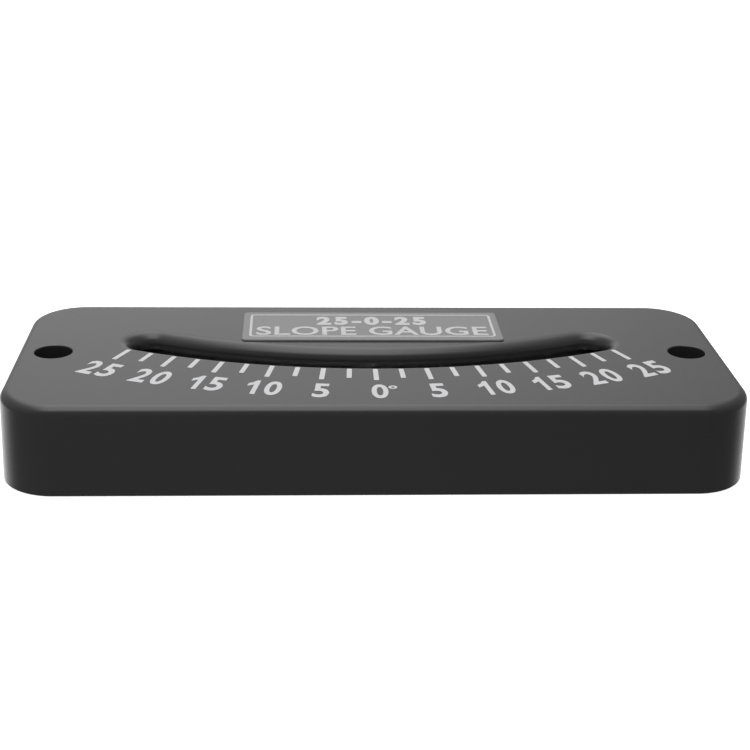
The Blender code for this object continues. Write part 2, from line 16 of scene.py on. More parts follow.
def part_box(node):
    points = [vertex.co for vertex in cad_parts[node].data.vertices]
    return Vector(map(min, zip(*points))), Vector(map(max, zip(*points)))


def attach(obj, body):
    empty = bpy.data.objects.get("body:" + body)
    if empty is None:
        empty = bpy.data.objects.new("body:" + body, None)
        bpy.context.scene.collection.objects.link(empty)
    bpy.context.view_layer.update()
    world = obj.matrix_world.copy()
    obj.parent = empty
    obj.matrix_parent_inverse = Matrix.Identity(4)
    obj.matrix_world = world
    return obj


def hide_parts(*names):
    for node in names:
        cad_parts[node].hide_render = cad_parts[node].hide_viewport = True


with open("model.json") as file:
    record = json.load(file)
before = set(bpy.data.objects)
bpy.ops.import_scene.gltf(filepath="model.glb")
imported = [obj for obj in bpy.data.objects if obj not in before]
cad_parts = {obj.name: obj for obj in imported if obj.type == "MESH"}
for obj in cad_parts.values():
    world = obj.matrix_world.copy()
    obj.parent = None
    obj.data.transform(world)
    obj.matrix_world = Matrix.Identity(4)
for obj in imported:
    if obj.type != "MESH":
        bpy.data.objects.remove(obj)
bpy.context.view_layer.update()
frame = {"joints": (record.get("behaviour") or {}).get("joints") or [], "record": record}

bl_info = {
    "name": "Ball slope gauge",
    "version": (1, 0, 0),
    "blender": (4, 5, 0),
    "location": "3D View > Sidebar > Gauge",
    "description": "Builds the case, tube, scale, label and fittings of a ball slope gauge",
    "category": "Add Mesh",
}

# Bodies that the pieces ride on
GAUGE = "gauge"
BALL = "ball"

# The arc that the ball follows, taken from its joint
JOINT = frame["joints"][0]
ARC_CENTRE = Vector(JOINT["pos_m"])
SCALE_LIMIT = math.radians(JOINT["range_deg"][1])


def middle(node):
    low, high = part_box(node)
    return (low + high) / 2


def extent(node):
    low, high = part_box(node)
    return high - low


CASE_LOW, CASE_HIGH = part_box("case")
FACE_Z = CASE_HIGH.z
TUBE_LOW, TUBE_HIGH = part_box("glass_tube")
TUBE_RADIUS = (TUBE_HIGH.z - TUBE_LOW.z) / 2
TRACK_RADIUS = ARC_CENTRE.y - middle("indicator_ball").y
TUBE_END_ANGLE = math.asin(TUBE_HIGH.x / (TRACK_RADIUS + TUBE_RADIUS))
LABEL_MIDDLE = middle("label_plate")

UP = Vector((0.0, 0.0, 1.0))
WELD = 1e-6
SMOOTH_ANGLE = math.radians(32.0)
FULL_TURN = 2 * math.pi
QUARTER_TURN = math.pi / 2

# How far a cutter passes the face that it cuts
OVERSHOOT = 0.001

# Ink: how far it lies in its surface and stands above it
PRINT_DEPTH = 0.00004
PRINT_RISE = 0.00003

# Shapes of the fasteners, as shares of their own sizes
COUNTERSINK_SLOPE = 0.9
THREAD_ROOT = 0.9
THREAD_FLANK = 0.32
CROSS_TAPER = 0.72
CROWN_FLAT = 0.62

# Shapes of the print, as shares of a mark's and a digit's width
MARK_ROUNDNESS = 0.45
ONE_WIDTH = 0.66

# Soft light: where each part of it fades, in the direction's own components
OVERHEAD_SIDES = (0.12, 0.60)
OVERHEAD_FRONT = (-0.74, -0.52)
OVERHEAD_RISE = (0.42, 0.92)
SHADE_SIDE = (-0.05, 0.35)
TABLE_REACH = (-0.10, 0.95)
TABLE_TOP = (-0.30, -0.06)
WALL_FOOT = (-0.05, 0.26)


# Settings -------------------------------------------------------------------------------


def length(name, description, default):
    return bpy.props.FloatProperty(
        name=name, description=description, default=default, min=0.0, precision=5, unit="LENGTH"
    )


def turn(name, description, degrees):
    return bpy.props.FloatProperty(
        name=name, description=description, default=math.radians(degrees), unit="ROTATION"
    )


def share(name, description, default):
    return bpy.props.FloatProperty(
        name=name, description=description, default=default, min=0.0, max=1.0, subtype="FACTOR"
    )


def factor(name, description, default):
    return bpy.props.FloatProperty(name=name, description=description, default=default, min=0.0)


def colour(name, description, default):
    return bpy.props.FloatVectorProperty(
        name=name, description=description, default=default, size=3, min=0.0, max=1.0, subtype="COLOR"
    )


class CaseSettings(bpy.types.PropertyGroup):
    """Sizes and finish of the moulded case and its back cover."""

    corner: length("Corner radius", "Radius of the case's upright corners", 0.0114)
    draft: length("Draft", "How far the walls lean out from the face to the back", 0.00028)
    face_fillet: length("Face fillet", "Rounding between the walls and the face", 0.0020)
    foot_round: length("Foot rounding", "Rounding of the edge round the back", 0.00025)
    face_thickness: length("Face thickness", "Thickness of the face behind the scale", 0.0035)
    slot_gap: length("Slot gap", "Gap between the tube and the slot's side", 0.0002)
    slot_rim: length("Slot rim", "Rounding of the slot's rim", 0.0028)
    slot_end: turn("Slot end", "How far the slot's end centre stays inside the last mark", 0.7)
    hole_radius: length("Hole radius", "Radius of the two fixing holes", 0.0040)
    hole_lip: length("Hole lip", "Rounding of the fixing holes' edges", 0.00025)
    cavity_corner: length("Cavity corner", "Corner radius of the hollow behind the face", 0.0050)
    ledge_x: length("Ledge along", "Width of the cover's ledge at the ends", 0.0020)
    ledge_y: length("Ledge across", "Width of the cover's ledge at the sides", 0.0015)
    ledge_gap: length("Ledge gap", "Gap round the cover and the gasket", 0.0003)
    cover_post: length("Cover post", "Radius of the posts that take the cover's screws", 0.0042)
    clamp_post: length("Clamp post", "Radius of the posts that take the clamps' screws", 0.00325)
    cover_edge: length("Cover edge", "Rounding of the back cover's edges", 0.00025)
    gasket_edge: length("Gasket edge", "Rounding of the gasket's edges", 0.00012)
    channel_gap: length("Channel gap", "Gap between the tube and its channel", 0.0006)
    channel_wall: length("Channel wall", "Thickness of the channel's walls", 0.0018)
    moulding: colour("Moulding", "Colour of the case", (0.0230, 0.0230, 0.0240))
    cover_tone: colour("Cover", "Colour of the back cover", (0.016, 0.016, 0.0165))
    gloss: share("Roughness", "Roughness of the moulded face", 0.20)


class TubeSettings(bpy.types.PropertyGroup):
    """Sizes and finish of the tube, the ball and what holds them."""

    wall: length("Tube wall", "Thickness of the glass", 0.0010)
    end_round: length("Tube end", "Rounding of the fire-polished ends", 0.0003)
    plug_stem: length("Plug stem", "Length of a plug inside the tube", 0.0035)
    plug_cap: length("Plug cap", "Thickness of a plug outside the tube", 0.0016)
    plug_gap: length("Plug gap", "Gap between a plug's stem and the bore", 0.00025)
    seat_gap: length("Seat gap", "Gap between pieces that lie on each other", 0.0002)
    groove_gap: length("Groove gap", "Gap between the tube and the groove that it lies in", 0.0003)
    strip_width: length("Strip width", "Width of the strip behind the tube", 0.0096)
    strip_edge: length("Strip edge", "Rounding of the strip's edges", 0.0001)
    pad_inset: length("Pad inset", "How far a pad stays inside its clamp's sides", 0.0003)
    pad_corner: length("Pad corner", "Radius of a pad's corners", 0.0008)
    pad_edge: length("Pad edge", "Rounding of a pad's edges", 0.00025)
    steel: colour("Ball steel", "Colour of the polished ball", (0.30, 0.30, 0.31))
    rubber: colour("Rubber", "Colour of the plugs and pads", (0.014, 0.014, 0.014))


class FastenerSettings(bpy.types.PropertyGroup):
    """Sizes and finish of the clamps and screws."""

    shank: length("Thread radius", "Outer radius of the screw threads", 0.00145)
    core: length("Core radius", "Radius at the bottom of the threads", 0.00108)
    pitch: length("Pitch", "Distance between turns of a thread", 0.00110)
    hole: length("Screw hole", "Radius of the holes that the screws pass", 0.00165)
    cross: length("Cross length", "Length of the driver cross", 0.0029)
    cross_width: length("Cross width", "Width of an arm of the driver cross", 0.0006)
    cross_depth: length("Cross depth", "Depth of the driver cross", 0.0008)
    clamp_margin: length("Clamp margin", "Metal beyond a clamp's screw", 0.0040)
    clamp_width: length("Clamp width", "Width of a clamp", 0.0080)
    clamp_corner: length("Clamp corner", "Radius of a clamp's ends", 0.0039)
    clamp_edge: length("Clamp edge", "Rounding of a clamp's edges", 0.0002)
    room: length("Screw room", "Room round a head and beyond a tip", 0.0004)
    tip: length("Screw tip", "Length of the pointed end", 0.0016)
    break_edge: length("Broken edge", "Bevel of a head's sharp edges", 0.0001)
    sunk_head: length("Sunk head", "Depth of a countersunk head", 0.0015)
    pan_head: length("Pan head", "Height of a pan head", 0.0016)
    pan_crown: length("Pan crown", "Height of the rounded part of a pan head", 0.0010)
    driver_turn: turn("Driver turn", "How much further each screw is turned than the last", 37.0)
    zinc: colour("Zinc", "Colour of the plated steel", (0.50, 0.50, 0.49))


class ScaleSettings(bpy.types.PropertyGroup):
    """The printed marks and numerals."""

    step: turn("Step", "Angle between marks", 2.5)
    labelled: bpy.props.IntProperty(
        name="Numbered every", description="Every how many marks has a numeral", default=2, min=1
    )
    start: length("Mark start", "Distance of a mark's start from the ball's track", 0.00685)
    long_mark: length("Long mark", "Length of a numbered mark", 0.0064)
    short_mark: length("Short mark", "Length of a mark between", 0.0052)
    mark_width: length("Mark width", "Width of a mark", 0.00105)
    numeral_distance: length("Numeral distance", "From the track to the numerals", 0.0194)
    numeral_shift: length("Numeral shift", "How far the numerals are printed to the right", 0.0004)
    numeral_height: length("Numeral height", "Height of a numeral", 0.0075)
    digit_width: length("Digit width", "Width of one digit", 0.0034)
    digit_pitch: length("Digit pitch", "Distance between two digits", 0.0043)
    weight: factor("Weight", "Thickening of the digits as a share of their size", 0.026)
    degree_inner: length("Degree inside", "Inner radius of the degree sign", 0.00038)
    degree_outer: length("Degree outside", "Outer radius of the degree sign", 0.00090)
    degree_rise: length("Degree rise", "How far the degree sign is above the 0's middle", 0.0022)
    degree_shift: length("Degree shift", "How far the degree sign is beside the 0's middle", 0.0027)
    ink_thickness: length("Ink thickness", "Height of the ink above the face", 0.00004)
    ink: colour("Ink", "Colour of the scale's ink", (0.47, 0.47, 0.48))


class LabelSettings(bpy.types.PropertyGroup):
    """The label plate above the slot."""

    corner: length("Corner radius", "Radius of the plate's corners", 0.0010)
    edge: length("Edge rounding", "Rounding of the plate's edge", 0.00030)
    line_inset_x: length("Line inset along", "From the plate's end to its border line", 0.0016)
    line_inset_y: length("Line inset across", "From the plate's side to its border line", 0.0018)
    line_width: length("Line width", "Width of the border line", 0.00055)
    range_words: bpy.props.StringProperty(
        name="Range", description="Upper line of the label", default="25-0-25"
    )
    range_size: bpy.props.FloatVectorProperty(
        name="Range size",
        description="Length and height of the upper line",
        default=(0.0248, 0.0056),
        size=2,
        unit="LENGTH",
    )
    range_rise: length("Range rise", "How far the upper line is above the plate's middle", 0.0031)
    range_weight: factor("Range weight", "Thickening of the upper line's letters", 0.055)
    range_spacing: factor("Range spacing", "Letter spacing of the upper line", 1.30)
    type_words: bpy.props.StringProperty(
        name="Type", description="Lower line of the label", default="SLOPE GAUGE"
    )
    type_size: bpy.props.FloatVectorProperty(
        name="Type size",
        description="Length and height of the lower line",
        default=(0.0515, 0.0056),
        size=2,
        unit="LENGTH",
    )
    type_drop: length("Type drop", "How far the lower line is below the plate's middle", 0.0036)
    type_weight: factor("Type weight", "Thickening of the lower line's letters", 0.018)
    type_spacing: factor("Type spacing", "Letter spacing of the lower line", 1.05)
    plate: colour("Plate", "Colour of the plate", (0.138, 0.138, 0.139))
    ink: colour("Ink", "Colour of the plate's print", (0.43, 0.43, 0.43))


class StageSettings(bpy.types.PropertyGroup):
    """Camera, floor and light."""

    lens: bpy.props.FloatProperty(
        name="Lens", description="Focal length in millimetres", default=74.51, min=1.0
    )
    place: bpy.props.FloatVectorProperty(
        name="Camera place",
        description="Where the camera stands",
        default=(-0.0159055, -0.3132738, 0.135091),
        size=3,
        subtype="XYZ",
        unit="LENGTH",
    )
    yaw: turn("Yaw", "Turn of the camera to the right", 3.002)
    pitch: turn("Pitch", "Tilt of the camera downwards", 21.165)
    roll: turn("Roll", "Lean of the camera", 1.066)
    front: factor("Front", "Light from the camera's side", 0.36)
    backdrop: factor("Backdrop", "Light from the wall behind the gauge", 0.98)
    cove: factor("Cove", "Light from the table behind the gauge", 1.75)
    overhead: factor("Overhead", "Light added straight above", 2.4)
    floor_tone: share("Floor tone", "Grey of the table top", 0.80)
    floor_glow: share("Floor glow", "Even light that the table top adds for the camera", 0.6)
    shade: share("Shade", "How much darker the right side is", 0.33)
    sides: share("Side level", "Light from the sides as a share of the middle", 0.2)


# Meshes ---------------------------------------------------------------------------------


def swing(angle):
    """Turns what is made at the middle of the track to another angle along it."""
    centre = Vector((ARC_CENTRE.x, ARC_CENTRE.y, 0.0))
    return Matrix.Translation(centre) @ Matrix.Rotation(angle, 4, "Z") @ Matrix.Translation(-centre)


def place(offset, z, angle=0.0):
    """The point this far outside the track's arc, at this angle and height."""
    return swing(angle) @ Vector((0.0, ARC_CENTRE.y - TRACK_RADIUS - offset, z))


def chain(builder, points, closed=False):
    """Vertices joined in a row by edges, as geometry for a spin."""
    verts = [builder.verts.new(point) for point in points]
    pairs = list(zip(verts, verts[1:]))
    if closed:
        pairs.append((verts[-1], verts[0]))
    return verts + [builder.edges.new(pair) for pair in pairs]


def spin(builder, geometry, angle, steps, centre=(0.0, 0.0, 0.0), rise=0.0):
    return bmesh.ops.spin(
        builder,
        geom=geometry,
        cent=centre,
        axis=UP,
        dvec=(0.0, 0.0, rise / steps),
        angle=angle,
        steps=steps,
        use_merge=False,
        use_duplicate=False,
    )


def tidy(builder):
    """Merges doubles and turns every face outwards."""
    bmesh.ops.remove_doubles(builder, verts=builder.verts, dist=WELD)
    bmesh.ops.dissolve_degenerate(builder, edges=builder.edges, dist=WELD)
    bmesh.ops.recalc_face_normals(builder, faces=builder.faces)
    return builder


def close_ends(builder):
    open_edges = [edge for edge in builder.edges if edge.is_boundary]
    bmesh.ops.holes_fill(builder, edges=open_edges, sides=0)
    return tidy(builder)


def bevel(builder, edges, offset, segments):
    bmesh.ops.bevel(
        builder,
        geom=edges,
        offset=offset,
        offset_type="OFFSET",
        segments=segments,
        profile=0.5,
        affect="EDGES",
        clamp_overlap=True,
        material=-1,
    )


def edges_at(builder, z):
    """Edges that lie at one height, apart from any inside a flat face."""
    found = []
    for edge in builder.edges:
        level = all(abs(vert.co.z - z) < WELD for vert in edge.verts)
        if level and len({round(face.normal.z, 2) for face in edge.link_faces}) > 1:
            found.append(edge)
    return found


def sharp_edges(builder, limit=SMOOTH_ANGLE):
    return [edge for edge in builder.edges if edge.calc_face_angle(0.0) > limit]


def block(low, high, corner=0.0, segments=12):
    """A box between two corners, with its upright edges rounded."""
    low, high = Vector(low), Vector(high)
    builder = bmesh.new()
    size = Matrix.Diagonal((*(high - low), 1.0))
    bmesh.ops.create_cube(builder, size=1.0, matrix=Matrix.Translation((low + high) / 2) @ size)
    if corner:
        rises = [(edge, edge.verts[1].co.z - edge.verts[0].co.z) for edge in builder.edges]
        upright = [edge for edge, rise in rises if abs(rise) > WELD]
        bevel(builder, upright, corner, segments)
    builder.normal_update()
    return builder


def cylinder(radius, low, high, centre=(0.0, 0.0), segments=40):
    builder = bmesh.new()
    bmesh.ops.create_cone(
        builder,
        cap_ends=True,
        cap_tris=False,
        segments=segments,
        radius1=radius,
        radius2=radius,
        depth=high - low,
        matrix=Matrix.Translation((centre[0], centre[1], (low + high) / 2)),
    )
    return builder


def turned(points, segments=48, centre=(0.0, 0.0)):
    """A body turned about an upright axis from (radius, height) points."""
    builder = bmesh.new()
    geometry = chain(builder, [(radius, 0.0, height) for radius, height in points])
    spin(builder, geometry, FULL_TURN, segments)
    bmesh.ops.translate(builder, verts=builder.verts, vec=(centre[0], centre[1], 0.0))
    return tidy(builder)


def swept(section, start, end, steps=72):
    """A closed section of (offset, height) points carried along the track."""
    builder = bmesh.new()
    geometry = chain(builder, [place(offset, z, start) for offset, z in section], closed=True)
    spin(builder, geometry, end - start, steps, ARC_CENTRE)
    return close_ends(builder)


def round_section(radius, segments=48):
    """Points of a circle about the tube's middle line."""
    points = []
    for step in range(segments):
        angle = FULL_TURN * step / segments
        points.append((radius * math.cos(angle), ARC_CENTRE.z + radius * math.sin(angle)))
    return points


def quarter(radius, z, outward, steps=8):
    """(radius, height) points of a quarter round that flares outwards to a flat face at z."""
    points = []
    for step in range(steps + 1):
        angle = QUARTER_TURN * step / steps
        spread = 1 - math.cos(angle)
        points.append((radius * spread, z - outward * radius * (1 - math.sin(angle))))
    return points


def joined(builders):
    whole = bmesh.new()
    for builder in builders:
        mesh = bpy.data.meshes.new("part")
        builder.to_mesh(mesh)
        builder.free()
        whole.from_mesh(mesh)
        bpy.data.meshes.remove(mesh)
    return whole


def carved(builder, *cuts):
    """The body after each (operation, cutter) Boolean in turn."""
    body = helper(builder)
    for operation, cutter in cuts:
        modifier = body.modifiers.new(operation.title(), "BOOLEAN")
        modifier.operation = operation
        modifier.solver = "EXACT"
        modifier.object = helper(cutter)
    depsgraph = bpy.context.evaluated_depsgraph_get()
    mesh = bpy.data.meshes.new_from_object(body.evaluated_get(depsgraph))
    for modifier in body.modifiers:
        bpy.data.objects.remove(modifier.object)
    bpy.data.objects.remove(body)
    result = bmesh.new()
    result.from_mesh(mesh)
    bpy.data.meshes.remove(mesh)
    return result


def helper(builder):
    mesh = bpy.data.meshes.new("helper")
    builder.to_mesh(mesh)
    builder.free()
    obj = bpy.data.objects.new("helper", mesh)
    bpy.context.scene.collection.objects.link(obj)
    return obj


def lettering(words, weight, spacing=1.0):
    """The words as a flat-backed body one unit thick, about the origin."""
    curve = bpy.data.curves.new("letters", "FONT")
    curve.body = words
    curve.size = 1.0
    curve.offset = weight
    curve.space_character = spacing
    curve.extrude = 0.5
    curve.resolution_u = 6
    holder = bpy.data.objects.new("letters", curve)
    bpy.context.scene.collection.objects.link(holder)
    depsgraph = bpy.context.evaluated_depsgraph_get()
    mesh = bpy.data.meshes.new_from_object(holder.evaluated_get(depsgraph))
    bpy.data.objects.remove(holder)
    bpy.data.curves.remove(curve)
    builder = bmesh.new()
    builder.from_mesh(mesh)
    bpy.data.meshes.remove(mesh)
    return tidy(builder)


def figure_one():
    """A plain 1 with a flag, one unit high and thick: its outline is filled and raised."""
    stem = ((0.30, 0.0), (0.54, 0.0), (0.54, 1.0), (0.36, 1.0))
    flag = ((0.20, 0.84), (0.0, 0.76), (0.0, 0.56), (0.30, 0.68))
    outline = stem + flag
    builder = bmesh.new()
    edges = chain(builder, [(x, y, 0.0) for x, y in outline], closed=True)[len(outline):]
    made = bmesh.ops.edgeloop_fill(builder, edges=edges)
    raised = bmesh.ops.extrude_face_region(builder, geom=made["faces"])
    top = [item for item in raised["geom"] if isinstance(item, bmesh.types.BMVert)]
    bmesh.ops.translate(builder, verts=top, vec=UP)
    return tidy(builder)


def fitted(builder, centre, size):
    """The body scaled and moved to fill a box of this size about this centre."""
    corners = [[vert.co[axis] for vert in builder.verts] for axis in range(3)]
    low = Vector([min(values) for values in corners])
    high = Vector([max(values) for values in corners])
    scales = [wanted / (top - bottom) for wanted, top, bottom in zip(size, high, low)]
    bmesh.ops.translate(builder, verts=builder.verts, vec=-(low + high) / 2)
    bmesh.ops.scale(builder, verts=builder.verts, vec=scales)
    bmesh.ops.translate(builder, verts=builder.verts, vec=centre)
    return builder


def piece(name, builder, surface, body=GAUGE, replaced=(), weighted=False):
    """Makes a finished piece and fastens it to its body."""
    mesh = bpy.data.meshes.new(name)
    builder.to_mesh(mesh)
    builder.free()
    mesh.materials.append(surface)
    mesh.shade_smooth()
    mesh.set_sharp_from_angle(angle=SMOOTH_ANGLE)
    obj = bpy.data.objects.new(name, mesh)
    bpy.context.scene.collection.objects.link(obj)
    if weighted:
        modifier = obj.modifiers.new("Flat faces stay flat", "WEIGHTED_NORMAL")
        modifier.keep_sharp = True
        modifier.weight = 100
    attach(obj, body)
    if replaced:
        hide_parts(*replaced)
    return obj


# Materials ------------------------------------------------------------------------------


class Number:
    """A number that a shader socket gives. Arithmetic on it adds Math nodes."""

    def __init__(self, surface, socket):
        self.surface = surface
        self.socket = socket

    def maths(self, operation, *values):
        made = self.surface.node("ShaderNodeMath", {"operation": operation}, *values)
        return Number(self.surface, made.outputs[0])

    def __add__(self, other):
        return self.maths("ADD", self, other)

    def __radd__(self, other):
        return self.maths("ADD", other, self)

    def __sub__(self, other):
        return self.maths("SUBTRACT", self, other)

    def __rsub__(self, other):
        return self.maths("SUBTRACT", other, self)

    def __mul__(self, other):
        return self.maths("MULTIPLY", self, other)

    def __rmul__(self, other):
        return self.maths("MULTIPLY", other, self)

    def size(self):
        """The number without its sign."""
        return self.maths("ABSOLUTE", self)

    def above(self, low, high):
        """0 below the low value, 1 above the high one, and a smooth rise between."""
        settings = {"interpolation_type": "SMOOTHSTEP"}
        sockets = {"Value": self, "From Min": low, "From Max": high}
        made = self.surface.node("ShaderNodeMapRange", settings, **sockets)
        return Number(self.surface, made.outputs[0])


class NodeTree:
    """Adds nodes to a material or a world."""

    def __init__(self, owner):
        owner.use_nodes = True
        self.owner = owner
        self.nodes = owner.node_tree.nodes
        self.links = owner.node_tree.links

    def node(self, kind, settings=None, *ordered, **named):
        """A node with its settings, and its sockets' values or links by order or by name."""
        made = self.nodes.new(kind)
        for name, value in (settings or {}).items():
            setattr(made, name, value)
        for key, value in [*enumerate(ordered), *named.items()]:
            self.feed(made.inputs[key], value)
        return made

    def feed(self, socket, value):
        if isinstance(value, Number):
            self.links.new(value.socket, socket)
        elif isinstance(value, bpy.types.NodeSocket):
            self.links.new(value, socket)
        else:
            socket.default_value = value


class Surface(NodeTree):
    """A Principled material. Its constants are set first, and its texture nodes after."""

    def __init__(self, name, tone, **constants):
        super().__init__(bpy.data.materials.new(name))
        self.shader = self.nodes["Principled BSDF"]
        self.tone = (*tone, 1.0)
        self.shader.inputs["Base Color"].default_value = self.tone
        for key, value in constants.items():
            self.shader.inputs[key.replace("_", " ")].default_value = value
        self.coordinates = self.node("ShaderNodeTexCoord").outputs["Object"]

    def noise(self, size, detail=2.0, roughness=0.5, stretch=(1.0, 1.0, 1.0)):
        """Noise about 0 to 1 whose features are about this many metres across."""
        scaled = self.node("ShaderNodeMapping", None, Vector=self.coordinates, Scale=stretch)
        values = {"Scale": 1 / size, "Detail": detail, "Roughness": roughness}
        made = self.node("ShaderNodeTexNoise", None, Vector=scaled.outputs[0], **values)
        return Number(self, made.outputs["Fac"])

    def cells(self, size):
        """Distance from the nearest of scattered points, in cells of about this size."""
        values = {"Vector": self.coordinates, "Scale": 1 / size}
        made = self.node("ShaderNodeTexVoronoi", None, **values)
        return Number(self, made.outputs["Distance"])

    def blend(self, amount, other):
        """Mixes the base colour towards another one."""
        settings = {"data_type": "RGBA"}
        made = self.node("ShaderNodeMix", settings)
        self.feed(made.inputs["Factor"], amount)
        socket = self.shader.inputs["Base Color"]
        if socket.links:
            self.feed(made.inputs[6], socket.links[0].from_socket)
        else:
            self.feed(made.inputs[6], self.tone)
        self.feed(made.inputs[7], (*other, 1.0))
        self.feed(socket, made.outputs[2])

    def roughness(self, value):
        self.feed(self.shader.inputs["Roughness"], value)

    def bump(self, height, distance, strength=1.0):
        """Adds relief of this height in metres, over any that is there already."""
        values = {"Height": height, "Distance": distance, "Strength": strength}
        made = self.node("ShaderNodeBump", None, **values)
        socket = self.shader.inputs["Normal"]
        if socket.links:
            self.feed(made.inputs["Normal"], socket.links[0].from_socket)
        self.feed(socket, made.outputs[0])


def moulded_black(settings):
    """Satin black moulding: a fine spark-eroded grain, uneven gloss and faint handling marks."""
    surface = Surface("moulded_black", settings.moulding, IOR=1.46, Specular_IOR_Level=0.5)
    grain = surface.noise(0.00035, 3.0, 0.6)
    mottle = surface.noise(0.012, 3.0, 0.55)
    rubs = surface.noise(0.0012, 4.0, 0.6, (0.12, 1.0, 1.0)).above(0.62, 0.74)
    surface.blend(mottle * 0.35, (0.029, 0.029, 0.030))
    surface.roughness(settings.gloss - 0.02 + mottle * 0.05 + grain * 0.03 - rubs * 0.02)
    surface.bump(grain, 0.000006)
    surface.bump(mottle, 0.00004)
    return surface.owner


def cover_black(settings):
    """Matt black cover with a coarser grain than the case."""
    surface = Surface("cover_black", settings.cover_tone, IOR=1.46)
    grain = surface.noise(0.0006, 3.0, 0.65)
    mottle = surface.noise(0.015, 2.0)
    surface.blend(mottle * 0.4, (0.026, 0.026, 0.027))
    surface.roughness(0.44 + mottle * 0.08 + grain * 0.06)
    surface.bump(grain, 0.00002)
    return surface.owner


def clear_glass():
    """Drawn glass with the faint lengthwise ripple of a bent tube."""
    constants = {"Roughness": 0.0, "IOR": 1.47, "Transmission_Weight": 1.0}
    surface = Surface("clear_glass", (0.93, 0.96, 0.95), **constants)
    ripple = surface.noise(0.004, 1.0, 0.4, (0.4, 1.0, 1.0))
    surface.bump(ripple, 0.00001, 0.3)
    return surface.owner


def polished_steel(settings):
    """A ground and polished bearing ball with hair-fine marks."""
    surface = Surface("polished_steel", settings.steel, Metallic=1.0)
    marks = surface.noise(0.0006, 5.0, 0.7, (1.0, 0.08, 1.0)).above(0.58, 0.7)
    film = surface.noise(0.003, 2.0)
    surface.blend(film * 0.3, (0.22, 0.22, 0.23))
    surface.roughness(0.06 + marks * 0.10 + film * 0.03)
    surface.bump(marks, 0.0000015)
    return surface.owner


def soft_rubber(name, tone, pore, depth):
    """Black rubber with a bloom on its skin. Larger pores make it a foam."""
    surface = Surface(name, tone, IOR=1.5)
    pores = surface.cells(pore)
    bloom = surface.noise(0.004, 3.0).above(0.45, 0.8)
    surface.blend(bloom * 0.4, (0.035, 0.035, 0.034))
    surface.roughness(0.62 + bloom * 0.2)
    surface.bump(pores, depth)
    return surface.owner


def black_card():
    """Dead matt card with short paper fibres."""
    surface = Surface("black_card", (0.010, 0.010, 0.010), IOR=1.4)
    fibres = surface.noise(0.0004, 5.0, 0.7, (0.3, 1.0, 1.0))
    surface.blend(fibres.above(0.55, 0.8) * 0.5, (0.022, 0.022, 0.021))
    surface.roughness(0.82 + fibres * 0.12)
    surface.bump(fibres, 0.00002)
    return surface.owner


def zinc_plate(settings):
    """Bright zinc plating: a cloudy passivated film over fine rolling lines."""
    surface = Surface("zinc_plate", settings.zinc, Metallic=1.0)
    cloud = surface.noise(0.002, 4.0, 0.6)
    lines = surface.noise(0.0003, 3.0, 0.6, (1.0, 0.1, 0.1))
    surface.blend(cloud * 0.5, (0.40, 0.41, 0.38))
    surface.roughness(0.24 + cloud * 0.16 + lines * 0.06)
    surface.bump(lines, 0.000003)
    return surface.owner


def label_plate_paint(settings):
    """Satin grey-black plate with a faint orange-peel."""
    surface = Surface("label_plate_paint", settings.plate, IOR=1.5)
    peel = surface.noise(0.0009, 2.0)
    cloud = surface.noise(0.006, 3.0)
    surface.blend(cloud * 0.4, (0.158, 0.158, 0.159))
    surface.roughness(0.30 + cloud * 0.06 + peel * 0.04)
    surface.bump(peel, 0.000008)
    return surface.owner


def printed_ink(name, tone, thin_tone):
    """Pad-printed ink that is a little thin and worn in places."""
    surface = Surface(name, tone, IOR=1.45)
    thin = surface.noise(0.0011, 4.0, 0.65).above(0.5, 0.78)
    speckle = surface.noise(0.00022, 2.0, 0.5).above(0.6, 0.72)
    surface.blend(thin * 0.45 + speckle * 0.2, thin_tone)
    surface.roughness(0.42 + thin * 0.15)
    surface.bump(speckle, 0.000004)
    return surface.owner


# Pieces ---------------------------------------------------------------------------------


def slot_cutter(settings):
    """The slot: a flared section carried along the track, with a half turn at each end."""
    half = TUBE_RADIUS + settings.slot_gap
    flare = [(half + x, z) for x, z in quarter(settings.slot_rim, FACE_Z, 1.0, 12)]
    top = FACE_Z + settings.slot_rim
    section = [(0.0, ARC_CENTRE.z), (half, ARC_CENTRE.z), *flare, (flare[-1][0], top), (0.0, top)]
    limit = SCALE_LIMIT - settings.slot_end
    builder = bmesh.new()
    for side in (-1, 1):
        points = [place(side * offset, z, -limit) for offset, z in section]
        spin(builder, chain(builder, points), 2 * limit, 56, ARC_CENTRE)
    for end in (-1, 1):
        points = [place(offset, z, end * limit) for offset, z in section]
        spin(builder, chain(builder, points), end * math.pi, 24, place(0.0, 0.0, end * limit))
    return tidy(builder)


def hole_cutter(settings, centre):
    """A through hole whose two edges are rounded."""
    radius, lip = settings.hole_radius, settings.hole_lip
    upper = [(radius + x, z) for x, z in quarter(lip, FACE_Z, 1.0, 5)]
    lower = [(radius + x, -z) for x, z in quarter(lip, 0.0, 1.0, 5)]
    points = [(0.0, -lip), (lower[-1][0], -lip), *reversed(lower), *upper]
    points += [(upper[-1][0], FACE_Z + lip), (0.0, FACE_Z + lip)]
    return turned(points, 64, centre)


def inside_of_cover(settings, grow_x=0.0, grow_y=0.0):
    """Half sizes of the hollow behind the face, from the cover that closes it."""
    size = extent("back_cover") / 2
    half_x = size.x + settings.ledge_gap - settings.ledge_x + grow_x
    half_y = size.y + settings.ledge_gap - settings.ledge_y + grow_y
    return half_x, half_y


def screw_places(kind):
    return [middle("%s_screw_%d" % (kind, index)) for index in range(1, 5)]


